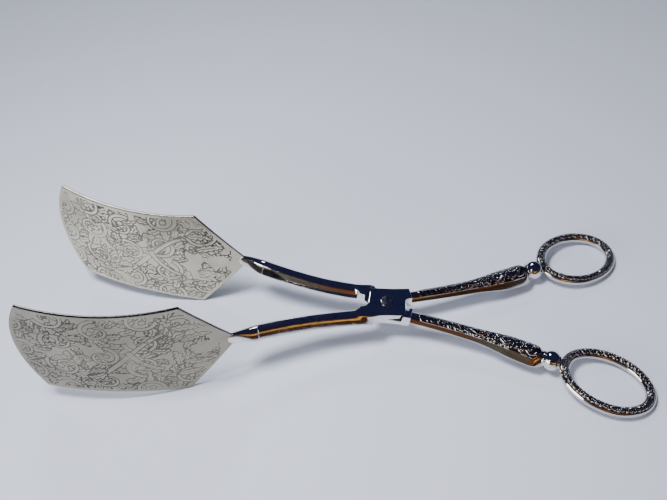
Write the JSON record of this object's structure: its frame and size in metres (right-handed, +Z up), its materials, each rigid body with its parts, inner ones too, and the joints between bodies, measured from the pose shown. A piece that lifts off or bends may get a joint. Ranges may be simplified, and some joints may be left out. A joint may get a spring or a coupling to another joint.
{
  "type": "serving tongs",
  "caption": "Scissor-action serving tongs with oval finger rings, ornamented handles and broad bowed engraved blades.",
  "frame": {"origin": "middle of the tongs' bounding box on the surface they rest on, blades partly open as stored", "axes": "+X from the blades towards the finger rings, +Z up, the pivot axis leaning 8.7 degrees from +Z towards +X"},
  "size_m": [0.2408, 0.0912, 0.0614],
  "materials": {
    "engraved_plate": "satin silver plate, engraved all over with foliate scrolls, lines darkened",
    "polished_plate": "bright polished silver plate with faint hairline scratches",
    "relief_plate": "cast scroll relief in silver plate, polished high spots and darkened recesses",
    "rivet_metal": "plated rivet, slightly dull"
  },
  "bodies": {
    "lower_half": {"lower_blade": "engraved_plate", "lower_blade_socket": "polished_plate", "lower_arm": "polished_plate", "lower_handle_grip": "relief_plate", "lower_knop": "polished_plate", "lower_finger_ring": "relief_plate", "pivot_rivet": "rivet_metal", "rivet_burr": "rivet_metal"},
    "upper_half": {"upper_blade": "engraved_plate", "upper_blade_socket": "polished_plate", "upper_arm": "polished_plate", "upper_handle_grip": "relief_plate", "upper_knop": "polished_plate", "upper_finger_ring": "relief_plate"}
  },
  "joints": [
    {"name": "pivot", "type": "hinge", "parent": "lower_half", "child": "upper_half", "pos_m": [0.01986, 0, 0.01496], "axis": [0.1514, 0, 0.9885], "range_deg": [-22, 30]}
  ]
}
